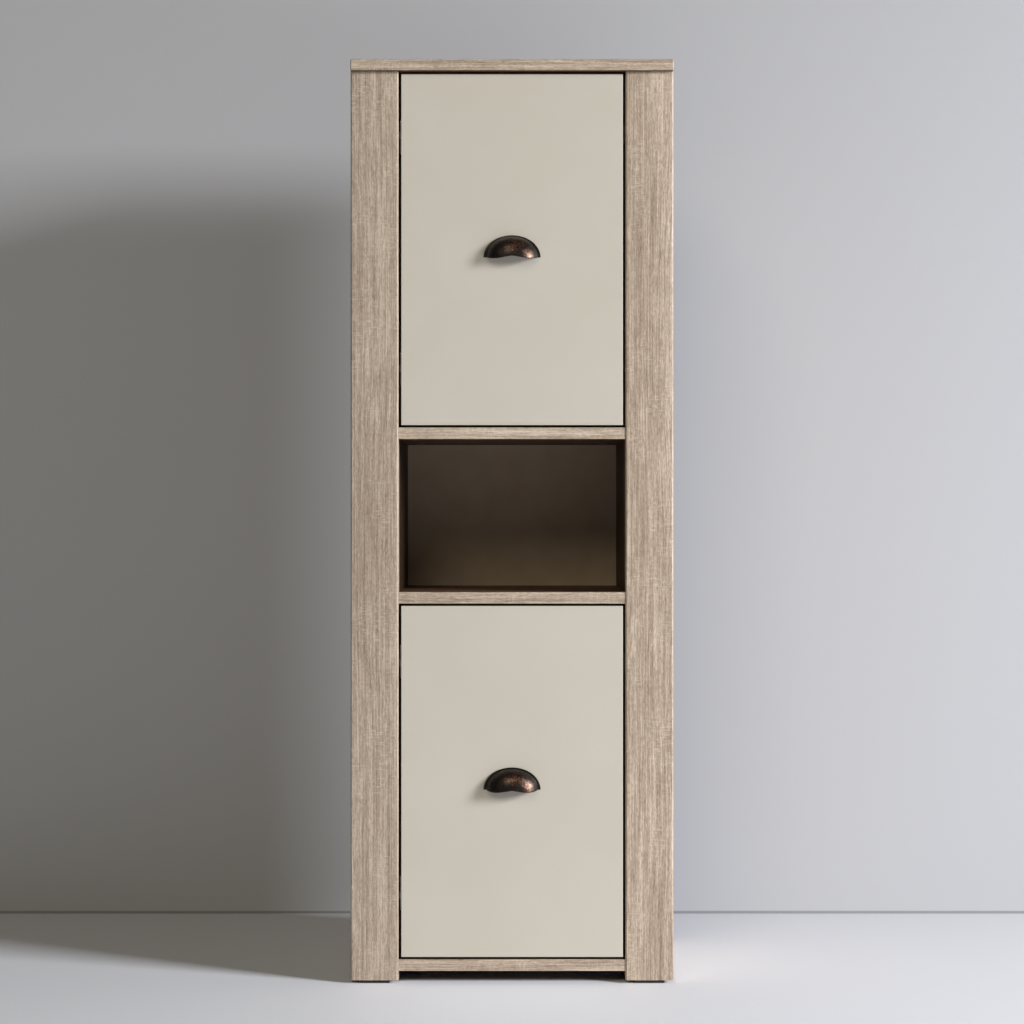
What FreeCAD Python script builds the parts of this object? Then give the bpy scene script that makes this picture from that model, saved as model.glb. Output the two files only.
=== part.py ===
"""Tall free-standing bathroom cabinet: double-wall sides behind broad front posts, two inset doors
on cup hinges, an open niche between them, and a cup pull on each door.

Millimetres. +Z is up and the front faces -Y. The origin is on the floor, under the middle of the
whole cabinet with its pulls. Left and right are as seen from the front; -X is left.
"""
import FreeCAD
import Part
import os
from math import hypot

Vector = FreeCAD.Vector
X = Vector(1, 0, 0)
Y = Vector(0, 1, 0)
Z = Vector(0, 0, 1)

# Overall sizes
WIDTH = 500.0
HEIGHT = 1430.0
BODY_DEPTH = 340.0            # post front to the rear edge of the sides

# Boards
BOARD = 18.0                  # top, bottom and fixed shelves
DOOR_THICK = 18.0
WALL_BOARD = 16.0             # side panels and rear stiles
LOOSE_SHELF = 16.0
POST_WIDTH = 74.2
POST_THICK = 22.0
BACK_THICK = 3.0
RAIL_HEIGHT = 70.0
POST_EDGE_RADIUS = 3.0        # long edges of posts
TOP_EDGE_RADIUS = 2.0         # edges of the top
FINE_RADIUS = 0.8             # edges of doors and shelves

# Layout of the front
TOE_CLEARANCE = 19.0          # floor to the bottom panel
NICHE_HEIGHT = 237.0
DOOR_GAP = 3.6                # above and below a door
DOOR_SIDE_GAP = 4.1
DOOR_RECESS = 2.0             # doors and shelf edges behind the post fronts
TOP_OVERHANG = 8.0            # top in front of the posts
BACK_INSET = 20.0             # rear face of the back panel from the rear edges
BACK_GROOVE = 6.5             # depth of the grooves that hold the back panel
SHELF_SETBACK = 20.0          # loose shelf behind the door's inner face

# Clearances
FIT = 0.1                     # radial, round a dowel, bolt or screw in its hole
END_PLAY = 0.5                # beyond the end of a dowel, bolt or screw
PANEL_PLAY = 0.2              # each side of the back panel in its groove
SHELF_PLAY = 1.0              # each end of a loose shelf
PIN_FIT = 0.05                # radial, hinge pin in the arm's eye
STOP_GAP = 0.3                # bumper to a closed door

# Cup pulls
PULL_WIDTH = 88.6
PULL_HEIGHT = 33.6            # tips to crown
PULL_REACH = 24.0
PULL_RIM = 2.0                # rim beyond the dome at the crown
PULL_RIM_AT_TIPS = 4.0
PULL_RIM_THICK = 1.6
PULL_WALL = 2.0
PULL_LIP = 3.7                # lips below the tips
PULL_LIP_X = 25.5
PULL_LIP_SHAPE = [(0.0, 0.0), (0.47, 0.5), (1.0, 1.0), (1.41, 0.66)]   # shares of LIP_X and LIP
PULL_BELOW_CENTRE = 11.6      # tips below the door's centre
PULL_HOLES = 64.0
PULL_HOLE_RISE = 9.0
PULL_BOSS_RADIUS = 4.2
PULL_THREAD_DEPTH = 8.0
PULL_SCREW_SHORT = 1.0        # screw's end before the thread's
PULL_SCREW_RADIUS = 2.0

# Cup hinges
HINGE_FROM_END = 90.0         # hinge to the nearer end of the door
CUP_RADIUS = 17.5
CUP_FROM_EDGE = 22.5          # cup centre to the door's edge
CUP_WALL = 0.8
CUP_SKIN = 5.0                # wood left in front of the cup
CUP_FLANGE = 1.2
CUP_FLANGE_RIM = 2.0
CUP_SCREW_OFFSET = 24.0       # along the door's edge
CUP_SCREW_BACK = 6.0          # further from the edge than the cup centre
PIN_RADIUS = 1.1
PIN_FROM_EDGE = 12.0
EYE_RADIUS = 2.0
EYE_GAP = 0.4                 # eye to the cup's floor
ARM_HALF = 5.0
ARM_STEEL = 1.5
ARM_WEB_HALF = 7.5
ARM_OVER_DOOR = 8.0
ARM_PAST_CUP = 5.0
LUG_GAP = 0.4
LUG_THICK = 1.8
LUG_RIM = 1.0                 # lug beyond the eye
PLATE_BACK = 55.0             # plate screws behind the door's front face
PLATE_STEEL = 2.0
PLATE_HALF = 27.0
PLATE_RIM = 1.0               # steel beyond a screw's head
PLATE_SCREW_OFFSET = 16.0
PLATE_BOSS_HEIGHT = 9.5
PLATE_BOSS_HALF = 5.5
PLATE_BOSS_REACH = 21.0
ARM_SCREW_REACH = 13.0

# Fasteners
DOWEL_RADIUS = 4.0
DOWEL_IN_FACE = 11.0
DOWEL_IN_EDGE = 18.0
CAM_RADIUS = 7.5
CAM_HEIGHT = 12.0
CAM_SLOT_PAST = 2.5           # bolt slot beyond the cam's centre
CAM_DRIVER_RADIUS = 2.5
CAM_DRIVER_DEPTH = 2.0
CAM_BACKSET = 24.0            # cam centre from the board's end
BOLT_RADIUS = 3.0
BOLT_IN_FACE = 11.0
FASTENER_FROM_EDGE = 55.0     # outer fastener from the front or rear edge of a board
FASTENER_PITCH = 32.0
POST_DOWEL_COUNT = 5
POST_DOWEL_FROM_END = 60.0
WOOD_SCREW_RADIUS = 1.8
WOOD_SCREW_LENGTH = 12.0
PLATE_SCREW_RADIUS = 2.5
PLATE_SCREW_LENGTH = 11.0
ARM_SCREW_RADIUS = 2.0
ARM_SCREW_LENGTH = 7.0
SCREW_HEAD_THICK = 2.0
HEAD_RATIO = 2.0              # pan head's radius to its shank's
PLATE_HEAD_RATIO = 1.8
NAIL_RADIUS = 0.8
NAIL_LENGTH = 20.0
NAIL_HEAD_RADIUS = 2.2
NAIL_HEAD_THICK = 0.6
NAIL_SPACING = 140.0
PEG_RADIUS = 2.5
PEG_IN_PANEL = 8.0
PEG_OUT = 9.0
PEG_LAP = 1.0                 # shank inside the paddle
PEG_PADDLE_HALF = 4.0
PEG_PADDLE_THICK = 3.0
PEG_HOLES_EACH_WAY = 2
PEG_FROM_BOARD_EDGE = 50.0
WALL_HOLE_RADIUS = 2.75
WALL_HOLE_SPACING = 256.0

# Door stops and glides
STOP_SIDE = 14.0
STOP_LENGTH = 30.0
BUMPER_RADIUS = 4.0
BUMPER_THICK = 2.0
GLIDE_HEIGHT = 5.0
GLIDE_LENGTH = 46.0
GLIDE_CHAMFER = 1.0
GLIDE_WIDTH = 16.0
GLIDE_SPIGOT_RADIUS = 1.5
GLIDE_SPIGOT_HEIGHT = 8.0
GLIDE_SPIGOT_OFFSET = 14.0

# Places worked out from the sizes
HALF = WIDTH / 2
OPEN = HALF - POST_WIDTH                                  # inner faces of posts and sides
FRONT = -(BODY_DEPTH - PULL_REACH + DOOR_RECESS) / 2      # post fronts
REAR = FRONT + BODY_DEPTH
DOOR_FRONT = FRONT + DOOR_RECESS
DOOR_BACK = DOOR_FRONT + DOOR_THICK
SIDE_FRONT = FRONT + POST_THICK
BACK_REAR = REAR - BACK_INSET
BACK_FACE = BACK_REAR - BACK_THICK
UNDER_TOP = HEIGHT - BOARD
DOOR_HEIGHT = (UNDER_TOP - TOE_CLEARANCE - 3 * BOARD - NICHE_HEIGHT - 4 * DOOR_GAP) / 2
FLOOR_TOP = TOE_CLEARANCE + BOARD
LOWER_SHELF = FLOOR_TOP + DOOR_HEIGHT + 2 * DOOR_GAP
UPPER_SHELF = LOWER_SHELF + BOARD + NICHE_HEIGHT
DOOR_HALF = OPEN - DOOR_SIDE_GAP
COMPARTMENTS = {
    "lower": (FLOOR_TOP, LOWER_SHELF),
    "upper": (UPPER_SHELF + BOARD, UNDER_TOP),
}
FIXED_BOARDS = {
    "bottom_panel": TOE_CLEARANCE,
    "lower_fixed_shelf": LOWER_SHELF,
    "upper_fixed_shelf": UPPER_SHELF,
}


def block(x, y, z):
    """A box between two values on each axis."""
    corner = Vector(min(x), min(y), min(z))
    return Part.makeBox(abs(x[1] - x[0]), abs(y[1] - y[0]), abs(z[1] - z[0]), corner)


def rod(start, axis, radius, length):
    """A round bar from a point along an axis."""
    return Part.makeCylinder(radius, length, start, axis)


def peg(place, axis, radius, behind, ahead):
    """A round bar through a point, so far behind it and so far ahead of it."""
    return rod(place - axis * behind, axis, radius, behind + ahead)


def hole(place, axis, radius, behind, ahead):
    """The hole for a peg, with a fit all round and play at both ends."""
    return peg(place, axis, radius + FIT, behind + END_PLAY, ahead + END_PLAY)


def rounded(shape, radius, chosen):
    """Round the edges whose middle point is chosen."""
    edges = [edge for edge in shape.Edges if chosen(edge.CenterOfMass)]
    return shape.makeFillet(radius, edges)


def near(value, target):
    return abs(value - target) < 0.01


def flipped(shape):
    """The same piece on the other side of the cabinet."""
    return shape.mirror(Vector(0, 0, 0), X)


def screw(seat, axis, radius, length, head_radius, head_thick=SCREW_HEAD_THICK):
    """A pan-head screw whose head sits on the seat and whose shank runs along the axis."""
    shank = rod(seat, axis, radius, length)
    head = rod(seat - axis * head_thick, axis, head_radius, head_thick)
    return head.fuse(shank).removeSplitter()


# Fasteners of the carcass: each list holds places on the joint face, in the middle of the board

def fastener_rows(front, rear):
    """Depths of the two cams and of the two dowels beside them."""
    cams = (front + FASTENER_FROM_EDGE, rear - FASTENER_FROM_EDGE)
    dowels = (cams[0] + FASTENER_PITCH, cams[1] - FASTENER_PITCH)
    return cams, dowels


SHELF_CAMS_Y, SHELF_DOWELS_Y = fastener_rows(DOOR_FRONT, BACK_FACE)
TOP_CAMS_Y, TOP_DOWELS_Y = fastener_rows(SIDE_FRONT, BACK_FACE)
OUTER_MID = HALF - WALL_BOARD / 2
INNER_MID = OPEN + WALL_BOARD / 2
RAIL_MID_Y = BACK_REAR + (BACK_INSET - PANEL_PLAY) / 2


def shelf_joint_places(depths):
    """Places on the right-hand joint faces of the three fixed boards."""
    heights = [bottom + BOARD / 2 for bottom in FIXED_BOARDS.values()]
    return [Vector(OPEN, y, z) for z in heights for y in depths]


def rail_dowel_places():
    step = RAIL_HEIGHT / 4
    return [Vector(OPEN, RAIL_MID_Y, UNDER_TOP - RAIL_HEIGHT / 2 + side * step) for side in (-1, 1)]


def post_dowel_places(x):
    first = GLIDE_HEIGHT + POST_DOWEL_FROM_END
    pitch = (UNDER_TOP - POST_DOWEL_FROM_END - first) / (POST_DOWEL_COUNT - 1)
    return [Vector(x, SIDE_FRONT, first + pitch * i) for i in range(POST_DOWEL_COUNT)]


def top_dowel_places():
    """One in the post's end, two in each side panel."""
    places = [Vector(HALF - POST_WIDTH / 2, FRONT + POST_THICK / 2, UNDER_TOP)]
    places += [Vector(x, y, UNDER_TOP) for x in (OUTER_MID, INNER_MID) for y in TOP_DOWELS_Y]
    return places


def top_bolt_places():
    return [Vector(INNER_MID, y, UNDER_TOP) for y in TOP_CAMS_Y]


def dowels(places, axis, maker=peg):
    """Dowels whose axis points out of the drilled face and into the drilled edge."""
    return [maker(place, axis, DOWEL_RADIUS, DOWEL_IN_FACE, DOWEL_IN_EDGE) for place in places]


def bolts(places, axis, maker=peg):
    """Cam bolts: screwed into a face, reaching the middle of the cam."""
    return [maker(place, axis, BOLT_RADIUS, BOLT_IN_FACE, CAM_BACKSET) for place in places]


def cam_pocket(place, into, mouth):
    """Round pocket from a board's face; mouth is the depth from the joint line to that face."""
    centre = place + into * CAM_BACKSET - mouth[0] * mouth[1]
    return rod(centre, mouth[0], CAM_RADIUS + FIT, CAM_HEIGHT + END_PLAY)


def cam_lock(place, into, mouth):
    """A cam: a drum with a slot for the bolt's head, flush with the board's face."""
    centre = place + into * CAM_BACKSET - mouth[0] * mouth[1]
    drum = rod(centre, mouth[0], CAM_RADIUS, CAM_HEIGHT)
    slot = hole(place, into, BOLT_RADIUS + FIT, 0, CAM_BACKSET + CAM_SLOT_PAST)
    driver = rod(centre, mouth[0], CAM_DRIVER_RADIUS, CAM_DRIVER_DEPTH)
    return drum.cut([slot, driver])


SHELF_CAM_MOUTH = (Z, BOARD / 2)                 # pocket opens downwards
TOP_CAM_MOUTH = (X, WALL_BOARD / 2)              # pocket opens towards the compartment


def both_sides(solids):
    return solids + [flipped(solid) for solid in solids]


# Boards

def top_panel():
    x = (-HALF, HALF)
    board = block(x, (FRONT - TOP_OVERHANG, REAR), (UNDER_TOP, HEIGHT))
    board = board.makeFillet(TOP_EDGE_RADIUS, board.Edges)
    holes = dowels(top_dowel_places(), -Z, hole) + bolts(top_bolt_places(), -Z, hole)
    return board.cut(both_sides(holes))


def right_post():
    """Broad front board from its glide to the top."""
    board = block((OPEN, HALF), (FRONT, SIDE_FRONT), (GLIDE_HEIGHT, UNDER_TOP))
    middle = (GLIDE_HEIGHT + UNDER_TOP) / 2
    board = rounded(board, POST_EDGE_RADIUS, lambda c: near(c.y, FRONT) and near(c.z, middle))
    holes = dowels(post_dowel_places(OUTER_MID), Y, hole)
    holes += dowels(post_dowel_places(INNER_MID), Y, hole)
    holes += dowels(top_dowel_places()[:1], -Z, hole)
    holes += glide_spigots(front_glide_centre(), hole)
    return board.cut(holes)


def right_outer_side():
    """Outside wall of the double side."""
    x = (HALF - WALL_BOARD, HALF)
    board = block(x, (SIDE_FRONT, REAR), (GLIDE_HEIGHT, UNDER_TOP))
    holes = dowels(post_dowel_places(OUTER_MID), Y, hole)
    holes += dowels(top_dowel_places()[1:3], -Z, hole)
    return board.cut(holes)


def right_inner_side():
    """Inside wall: carries the fixed boards, the loose shelves and the back panel."""
    x = (OPEN, OPEN + WALL_BOARD)
    board = block(x, (SIDE_FRONT, REAR), (GLIDE_HEIGHT, UNDER_TOP))
    groove_y = (BACK_FACE - PANEL_PLAY, BACK_REAR + PANEL_PLAY)
    groove = block((OPEN, OPEN + BACK_GROOVE), groove_y, (GLIDE_HEIGHT, UNDER_TOP))
    holes = [groove]
    holes += dowels(post_dowel_places(INNER_MID), Y, hole)
    holes += dowels(top_dowel_places()[3:], -Z, hole)
    holes += dowels(shelf_joint_places(SHELF_DOWELS_Y) + rail_dowel_places(), -X, hole)
    holes += bolts(shelf_joint_places(SHELF_CAMS_Y), -X, hole)
    holes += bolts(top_bolt_places(), -Z, hole)
    holes += [cam_pocket(place, -Z, TOP_CAM_MOUTH) for place in top_bolt_places()]
    for name in COMPARTMENTS:
        holes += peg_holes(name)
    return board.cut(holes)


def right_rear_stile():
    """Closes the back of the double side."""
    x = (OPEN + WALL_BOARD, HALF - WALL_BOARD)
    board = block(x, (REAR - WALL_BOARD, REAR), (GLIDE_HEIGHT, UNDER_TOP))
    return board.cut(glide_spigots(rear_glide_centre(), hole))


def fixed_board(bottom):
    """Bottom panel or fixed shelf, held by cams and dowels at both ends."""
    board = block((-OPEN, OPEN), (DOOR_FRONT, BACK_FACE), (bottom, bottom + BOARD))
    board = rounded(board, FINE_RADIUS, lambda c: near(c.x, 0) and near(c.y, DOOR_FRONT))
    level = bottom + BOARD / 2
    cam_places = [Vector(OPEN, y, level) for y in SHELF_CAMS_Y]
    dowel_places = [Vector(OPEN, y, level) for y in SHELF_DOWELS_Y]
    holes = dowels(dowel_places, -X, hole)
    holes += bolts(cam_places, -X, hole)
    holes += [cam_pocket(place, -X, SHELF_CAM_MOUTH) for place in cam_places]
    return board.cut(both_sides(holes) + nails(level, hole=True))


def back_panel():
    """Thin board held in the side grooves and nailed to the rear edges of the fixed boards."""
    half = OPEN + BACK_GROOVE - PANEL_PLAY
    panel = block((-half, half), (BACK_FACE, BACK_REAR), (TOE_CLEARANCE, UNDER_TOP))
    holes = wall_holes()
    for bottom in FIXED_BOARDS.values():
        holes += nails(bottom + BOARD / 2, hole=True)
    return panel.cut(holes)


def rear_rail():
    """Rail behind the back panel under the top, through which the cabinet is fixed to a wall."""
    y = (BACK_REAR, REAR - 2 * PANEL_PLAY)
    rail = block((-OPEN, OPEN), y, (UNDER_TOP - RAIL_HEIGHT, UNDER_TOP))
    return rail.cut(wall_holes() + both_sides(dowels(rail_dowel_places(), -X, hole)))


def wall_holes():
    level = UNDER_TOP - RAIL_HEIGHT / 2
    reach = REAR - BACK_FACE
    places = [Vector(side * WALL_HOLE_SPACING / 2, BACK_FACE, level) for side in (-1, 1)]
    return [peg(place, Y, WALL_HOLE_RADIUS, END_PLAY, reach) for place in places]


def nails(level, hole):
    """Back nails at one board, or the holes for them."""
    gap = FIT if hole else 0
    solids = []
    for x in (-NAIL_SPACING, 0, NAIL_SPACING):
        seat = Vector(x, BACK_REAR, level)
        shank = rod(seat, -Y, NAIL_RADIUS + gap, NAIL_LENGTH + gap)
        head = rod(seat, Y, NAIL_HEAD_RADIUS, NAIL_HEAD_THICK)
        solids.append(shank if hole else shank.fuse(head).removeSplitter())
    return solids


# Loose shelves and their pegs

def peg_row_depths():
    front = DOOR_BACK + SHELF_SETBACK + PEG_FROM_BOARD_EDGE
    return front, BACK_FACE - PEG_FROM_BOARD_EDGE


def peg_level(name):
    return sum(COMPARTMENTS[name]) / 2


def peg_holes(name):
    """Rows of peg holes on the right side, so that the shelf can be set at other heights."""
    steps = range(-PEG_HOLES_EACH_WAY, PEG_HOLES_EACH_WAY + 1)
    holes = []
    for y in peg_row_depths():
        for step in steps:
            mouth = Vector(OPEN, y, peg_level(name) + step * FASTENER_PITCH)
            holes.append(hole(mouth, X, PEG_RADIUS, 0, PEG_IN_PANEL))
    return holes


def shelf_pegs(name):
    """Four pegs, each a round shank with a flat-topped paddle under the shelf."""
    pegs = []
    for y in peg_row_depths():
        centre = Vector(OPEN, y, peg_level(name))
        shank = peg(centre, X, PEG_RADIUS, PEG_LAP, PEG_IN_PANEL)
        top = centre.z + PEG_RADIUS
        along = (y - PEG_PADDLE_HALF, y + PEG_PADDLE_HALF)
        paddle = block((OPEN - PEG_OUT, OPEN), along, (top - PEG_PADDLE_THICK, top))
        pegs.append(shank.fuse(paddle).removeSplitter())
    return both_sides(pegs)


def loose_shelf(name):
    bottom = peg_level(name) + PEG_RADIUS
    half = OPEN - SHELF_PLAY
    y = (DOOR_BACK + SHELF_SETBACK, BACK_FACE - SHELF_PLAY)
    board = block((-half, half), y, (bottom, bottom + LOOSE_SHELF))
    return rounded(board, FINE_RADIUS, lambda c: near(c.x, 0) and near(c.y, y[0]))


# Glides

def front_glide_centre():
    return Vector(HALF - POST_WIDTH / 2, FRONT + POST_THICK / 2, 0)


def rear_glide_centre():
    return Vector(HALF - POST_WIDTH / 2, REAR - WALL_BOARD / 2, 0)


def glide_spigots(centre, maker=peg):
    base = centre + Z * GLIDE_HEIGHT
    places = [base + X * side * GLIDE_SPIGOT_OFFSET for side in (-1, 1)]
    return [maker(place, Z, GLIDE_SPIGOT_RADIUS, 0, GLIDE_SPIGOT_HEIGHT) for place in places]


def glide(centre):
    """Plastic glide with chamfered lower edges and two spigots pressed into the wood above."""
    half_x = min(GLIDE_LENGTH, POST_WIDTH) / 2
    half_y = GLIDE_WIDTH / 2
    x = (centre.x - half_x, centre.x + half_x)
    pad = block(x, (centre.y - half_y, centre.y + half_y), (0, GLIDE_HEIGHT))
    lower = [edge for edge in pad.Edges if near(edge.CenterOfMass.z, 0)]
    pad = pad.makeChamfer(GLIDE_CHAMFER, lower)
    return pad.fuse(glide_spigots(centre)).removeSplitter()


# Doors

def door_span(name):
    """Lower and upper edge of a door."""
    low, high = COMPARTMENTS[name]
    return low + DOOR_GAP, high - DOOR_GAP


def hinge_levels(name):
    low, high = door_span(name)
    return {"bottom": low + HINGE_FROM_END, "top": high - HINGE_FROM_END}


def door(name):
    """Plain board with cup holes at its left edge and holes for the pull."""
    board = block((-DOOR_HALF, DOOR_HALF), (DOOR_FRONT, DOOR_BACK), door_span(name))
    board = rounded(board, FINE_RADIUS, lambda c: near(c.y, DOOR_FRONT))
    holes = []
    for level in hinge_levels(name).values():
        cup = Vector(CUP_X, DOOR_FRONT + CUP_SKIN, level)
        holes.append(rod(cup, Y, CUP_RADIUS, DOOR_THICK))
        for seat in cup_screw_seats(level):
            start = Vector(seat.x, DOOR_BACK + END_PLAY, seat.z)
            length = WOOD_SCREW_LENGTH + 2 * END_PLAY
            holes.append(rod(start, -Y, WOOD_SCREW_RADIUS + FIT, length))
    for seat in pull_screw_seats(name):
        holes.append(hole(seat, -Y, PULL_SCREW_RADIUS, 0, DOOR_THICK))
    return board.cut(holes)


# Cup pulls

def pull_origin(name):
    """Point on the door's front face, midway between the pull's tips."""
    return Vector(0, DOOR_FRONT, sum(door_span(name)) / 2 - PULL_BELOW_CENTRE)


def pull_screw_seats(name):
    origin = pull_origin(name)
    level = origin.z + PULL_HOLE_RISE
    return [Vector(side * PULL_HOLES / 2, DOOR_BACK, level) for side in (-1, 1)]


def ellipsoid(half_x, half_y, half_z):
    scale = FreeCAD.Matrix()
    scale.scale(half_x, half_y, half_z)
    return Part.makeSphere(1).transformGeometry(scale)


def pull(name):
    """Cast shell: a quarter dome with two hanging lips, a flat rim and two threaded bosses."""
    half_x = PULL_WIDTH / 2 - PULL_RIM_AT_TIPS
    half_z = PULL_HEIGHT - PULL_RIM
    outer = ellipsoid(half_x, PULL_REACH, half_z)
    inner = ellipsoid(half_x - PULL_WALL, PULL_REACH - PULL_WALL, half_z - PULL_WALL)
    edge = [Vector(PULL_LIP_X * out, 0, -PULL_LIP * drop) for out, drop in PULL_LIP_SHAPE]
    edge = [Vector(-point.x, 0, point.z) for point in reversed(edge[1:])] + edge
    tip = Vector(PULL_WIDTH / 2, 0, 0)
    curve = Part.BSplineCurve()
    curve.interpolate([Vector(-tip.x, 0, 0)] + edge + [tip])
    crown = PULL_HEIGHT * 2
    frame = [tip, Vector(tip.x, 0, crown), Vector(-tip.x, 0, crown), Vector(-tip.x, 0, 0)]
    outline = Part.Wire([curve.toShape()] + Part.makePolygon(frame).Edges)
    keep = Part.Face(outline).extrude(-Y * PULL_REACH * 2)
    shell = outer.cut(inner).common(keep)
    rim = oval_plate(PULL_WIDTH / 2, PULL_HEIGHT)
    rim = rim.cut(oval_plate(half_x - PULL_WALL, half_z - PULL_WALL, 2 * PULL_RIM_THICK))
    body = shell.fuse(rim)
    for side in (-1, 1):
        foot = Vector(side * PULL_HOLES / 2, 0, PULL_HOLE_RISE)
        boss = rod(foot, -Y, PULL_BOSS_RADIUS, PULL_REACH).common(outer)
        thread = rod(foot, -Y, PULL_SCREW_RADIUS + PIN_FIT, PULL_THREAD_DEPTH)
        body = body.fuse(boss).cut(thread)
    body.translate(pull_origin(name))
    return body


def oval_plate(half_x, half_z, thick=PULL_RIM_THICK):
    """Upper half of an oval plate that lies on the door."""
    oval = Part.Ellipse(Vector(half_x, 0, 0), Vector(0, 0, half_z), Vector(0, 0, 0))
    if half_z > half_x:
        oval = Part.Ellipse(Vector(0, 0, half_z), Vector(half_x, 0, 0), Vector(0, 0, 0))
    plate = Part.Face(Part.Wire([oval.toShape()])).extrude(-Y * thick)
    return plate.common(block((-half_x, half_x), (-thick, 0), (0, half_z)))


def pull_screws(name):
    radius = PULL_SCREW_RADIUS
    length = DOOR_THICK + PULL_THREAD_DEPTH - PULL_SCREW_SHORT
    return [screw(seat, -Y, radius, length, HEAD_RATIO * radius) for seat in pull_screw_seats(name)]


# Cup hinges. U runs from the side panel's face into the opening and V from the door's front face
# into the cabinet; both are along X and Y. The eye turns on the pin just above the cup's floor.

PIN_U = DOOR_SIDE_GAP + PIN_FROM_EDGE
PIN_V = CUP_SKIN + CUP_WALL + EYE_GAP + EYE_RADIUS
PIN_X = -OPEN + PIN_U
PIN_Y = DOOR_FRONT + PIN_V
CUP_X = -OPEN + DOOR_SIDE_GAP + CUP_FROM_EDGE
SCREW_LINE_X = CUP_X + CUP_SCREW_BACK
LEG_X = PIN_X + DOOR_THICK - PIN_V + CUP_FLANGE + ARM_PAST_CUP
BRIDGE_Y = DOOR_BACK + ARM_OVER_DOOR
WEB_X = -OPEN + PLATE_BOSS_HEIGHT
PLATE_Y = DOOR_FRONT + PLATE_BACK
DOOR_SWING = hypot(PIN_FROM_EDGE, PIN_V)         # front corner of the hinge edge round the pin


def cup_screw_seats(level):
    y = DOOR_BACK + CUP_FLANGE
    return [Vector(SCREW_LINE_X, y, level + side * CUP_SCREW_OFFSET) for side in (-1, 1)]


def hinge_cup(level):
    """Pressed steel cup with a flange on the door's back and two lugs that hold the pin."""
    floor = Vector(CUP_X, DOOR_FRONT + CUP_SKIN, level)
    deep = DOOR_THICK - CUP_SKIN
    outside = rod(floor, Y, CUP_RADIUS - FIT, deep + CUP_FLANGE)
    hollow = rod(floor + Y * CUP_WALL, Y, CUP_RADIUS - FIT - CUP_WALL, deep + CUP_FLANGE)
    seat = Vector(CUP_X, DOOR_BACK, level)
    flange = rod(seat, Y, CUP_RADIUS + CUP_FLANGE_RIM, CUP_FLANGE)
    ear_half = HEAD_RATIO * WOOD_SCREW_RADIUS + CUP_FLANGE_RIM
    ear_x = (SCREW_LINE_X - ear_half, SCREW_LINE_X + ear_half)
    ear_z = (level - CUP_SCREW_OFFSET - ear_half, level + CUP_SCREW_OFFSET + ear_half)
    ears = block(ear_x, (DOOR_BACK, DOOR_BACK + CUP_FLANGE), ear_z)
    corners = [edge for edge in ears.Edges if near(abs(edge.tangentAt(edge.FirstParameter).y), 1)]
    ears = ears.makeFillet(ear_half - FIT, corners)
    cup = outside.fuse([flange, ears]).cut(hollow)
    for side in (-1, 1):
        inside = level + side * (ARM_HALF + LUG_GAP)
        lug_x = (PIN_X - EYE_RADIUS - LUG_RIM, PIN_X + EYE_RADIUS + LUG_RIM)
        lug_y = (floor.y + CUP_WALL / 2, PIN_Y + EYE_RADIUS)
        lug = block(lug_x, lug_y, (inside, inside + side * LUG_THICK))
        cup = cup.fuse(lug)
    low, high = pin_span(level)
    bore = rod(Vector(PIN_X, PIN_Y, low), Z, PIN_RADIUS + PIN_FIT, high - low)
    screws = [rod(point, -Y, WOOD_SCREW_RADIUS + FIT, CUP_FLANGE) for point in cup_screw_seats(level)]
    return cup.cut([bore] + screws).removeSplitter()


def pin_span(level):
    half = ARM_HALF + LUG_GAP + LUG_THICK
    return level - half, level + half


def hinge_pin(level):
    low, high = pin_span(level)
    return rod(Vector(PIN_X, PIN_Y, low), Z, PIN_RADIUS, high - low)


def hinge_arm(level):
    """Bent strip: an eye on the pin, along the cup's floor, out of the cup and back to the side."""
    half_strip = ARM_STEEL / 2
    narrow = (level - ARM_HALF, level + ARM_HALF)
    wide = (level - ARM_WEB_HALF, level + ARM_WEB_HALF)
    eye = rod(Vector(PIN_X, PIN_Y, narrow[0]), Z, EYE_RADIUS, 2 * ARM_HALF)
    leg_x = (LEG_X, LEG_X + ARM_STEEL)
    strip = block((PIN_X, leg_x[1]), (PIN_Y - half_strip, PIN_Y + half_strip), narrow)
    bridge_y = (BRIDGE_Y, BRIDGE_Y + ARM_STEEL)
    leg = block(leg_x, (PIN_Y - half_strip, bridge_y[1]), narrow)
    bridge = block((WEB_X, leg_x[1]), bridge_y, narrow)
    web_x = (WEB_X, WEB_X + ARM_STEEL)
    web_end = PLATE_Y + PLATE_BOSS_REACH
    web = block(web_x, (BRIDGE_Y, web_end), wide)
    arm = eye.fuse([strip, leg, bridge, web])
    for side in (-1, 1):
        outside = level + side * ARM_WEB_HALF
        cheek_z = (outside - side * ARM_STEEL, outside)
        cheek_x = (-OPEN + 2 * PLATE_STEEL, WEB_X + ARM_STEEL)
        arm = arm.fuse(block(cheek_x, (BRIDGE_Y, web_end), cheek_z))
    arm = arm.removeSplitter()
    bends = [(leg_x[1], bridge_y[1]), (leg_x[1], PIN_Y - half_strip), (web_x[1], bridge_y[1])]
    for x, y in bends:
        arm = rounded(arm, ARM_STEEL / 2, lambda c: near(c.x, x) and near(c.y, y))
    bore = rod(Vector(PIN_X, PIN_Y, narrow[0]), Z, PIN_RADIUS + PIN_FIT, 2 * ARM_HALF)
    holes = [hole(seat, -X, ARM_SCREW_RADIUS, 0, ARM_STEEL) for seat in arm_screw_seats(level)]
    return arm.cut([bore] + holes)


def arm_screw_seats(level):
    x = WEB_X + ARM_STEEL
    return [Vector(x, PLATE_Y + side * ARM_SCREW_REACH, level) for side in (-1, 1)]


def plate_screw_seats(level):
    x = -OPEN + PLATE_STEEL
    return [Vector(x, PLATE_Y, level + side * PLATE_SCREW_OFFSET) for side in (-1, 1)]


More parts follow.
